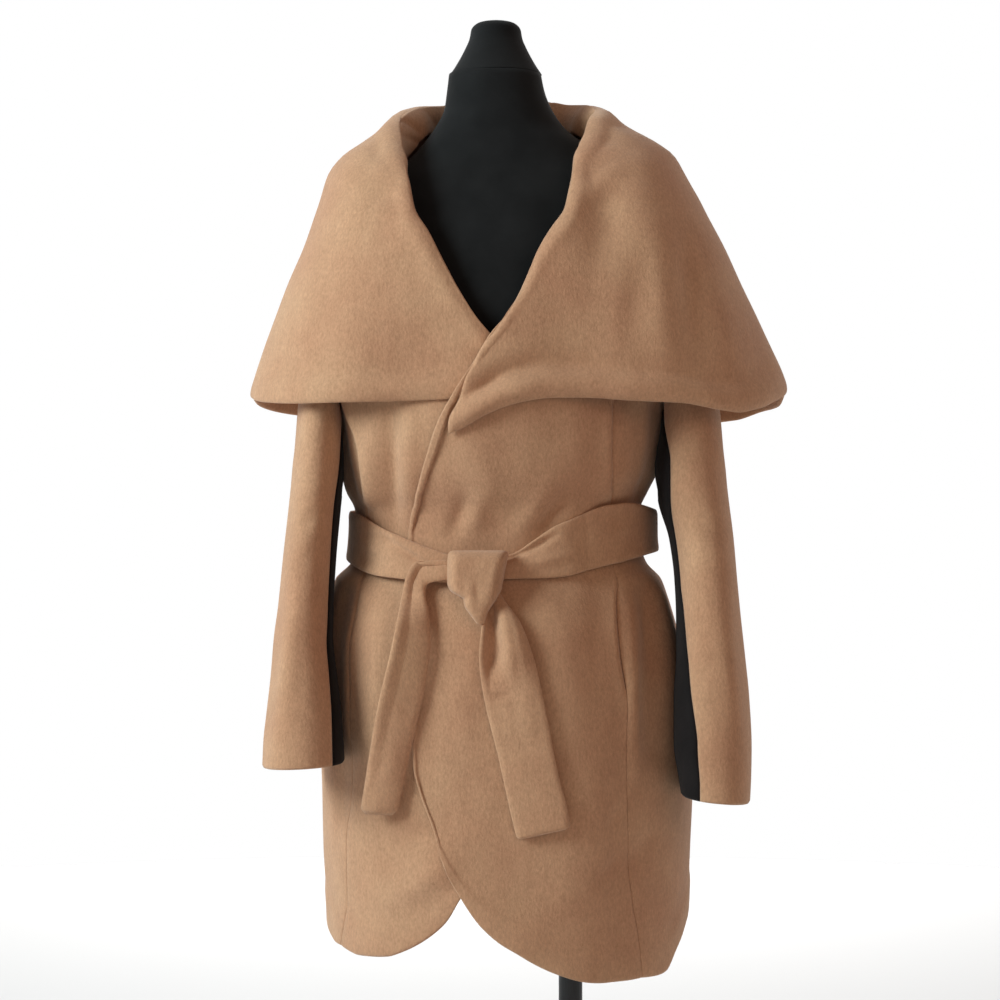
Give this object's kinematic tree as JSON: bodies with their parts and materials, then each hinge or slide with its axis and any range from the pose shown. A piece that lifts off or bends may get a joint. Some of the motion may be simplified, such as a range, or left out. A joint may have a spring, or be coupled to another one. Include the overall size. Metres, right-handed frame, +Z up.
{
  "type": "wool wrap coat on a dress form",
  "caption": "Belted wool wrap coat with a wide cape collar and long sleeves, worn by a limbless dress form on a pole stand.",
  "frame": {"origin": "centre of the stand's underside, on the floor", "axes": "+Z up, the coat faces -Y, +X is the wearer's left"},
  "size_m": [0.5575, 0.38, 1.468],
  "materials": {
    "camel_wool": "brushed coating wool",
    "black_knit": "fine black knit",
    "black_jersey": "stretched black jersey",
    "dark_metal": "satin black paint"
  },
  "bodies": {
    "root": {"front_left": "camel_wool", "front_right": "camel_wool", "side_left": "camel_wool", "side_right": "camel_wool", "back": "camel_wool", "collar_left": "camel_wool", "collar_right": "camel_wool", "collar_stand": "camel_wool", "sleeve_left": "camel_wool", "sleeve_right": "camel_wool", "under_sleeve_left": "black_knit", "under_sleeve_right": "black_knit", "belt_waist": "camel_wool", "belt_knot": "camel_wool", "belt_tail_left": "camel_wool", "belt_tail_right": "camel_wool", "form_torso": "black_jersey", "form_neck_cap": "black_jersey", "stand_flange": "dark_metal", "stand_pole": "dark_metal", "stand_base": "dark_metal"}
  },
  "joints": []
}
